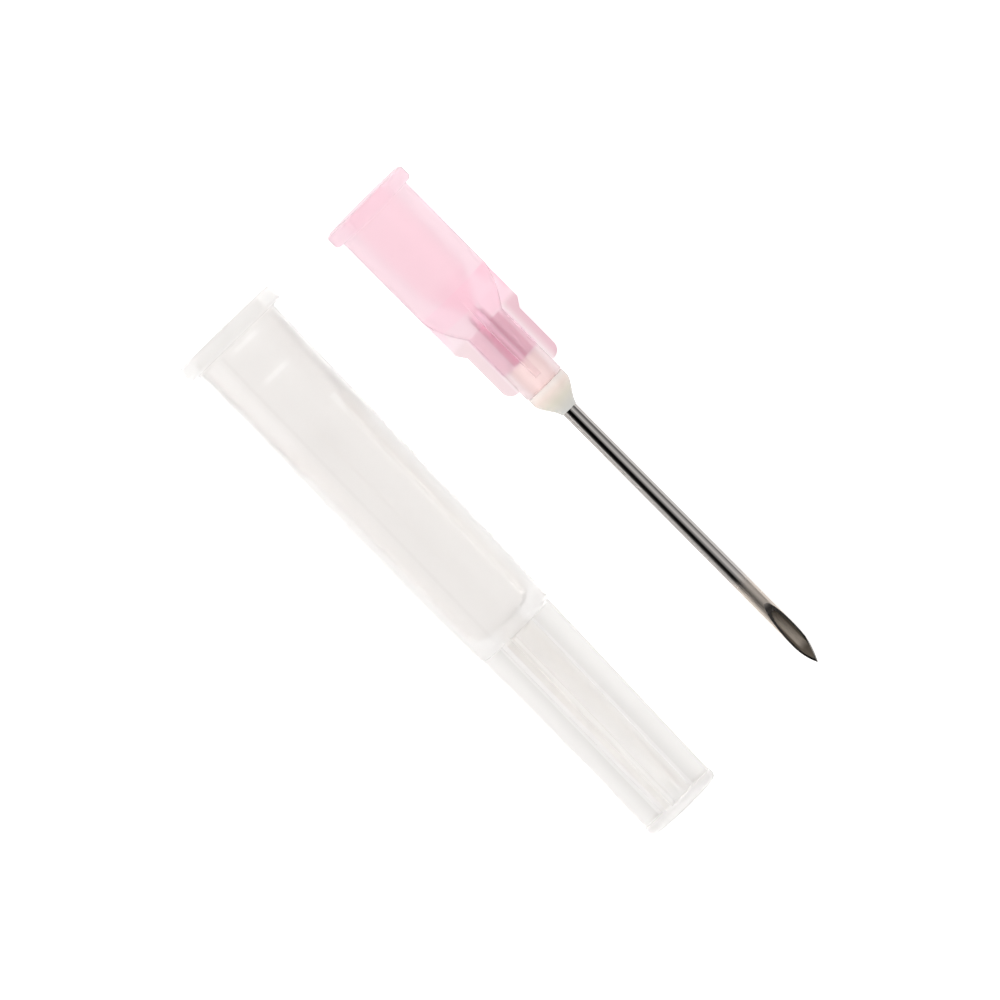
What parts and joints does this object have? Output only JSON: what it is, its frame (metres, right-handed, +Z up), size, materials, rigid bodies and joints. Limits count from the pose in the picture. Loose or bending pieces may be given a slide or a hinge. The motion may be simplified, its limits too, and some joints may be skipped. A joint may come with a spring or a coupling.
{
  "type": "hypodermic needle",
  "caption": "Hypodermic needle with a pink finned hub and a ground steel cannula, lying beside the clear protective sheath pulled off it.",
  "frame": {"origin": "centre of the set's bounding box, on the surface that it lies on", "axes": "+X from the hub's open end to the needle's point, +Y from the sheath towards the needle, +Z up"},
  "size_m": [0.0496, 0.0224, 0.0093],
  "materials": {
    "hub": "translucent pink moulded polypropylene",
    "cannula": "drawn and polished stainless steel with a ground point",
    "adhesive": "cured cream-coloured adhesive",
    "sheath": "translucent colourless moulded polypropylene"
  },
  "bodies": {
    "root": {"hub": "hub", "cannula": "cannula", "adhesive": "adhesive", "sheath": "sheath"}
  },
  "joints": []
}
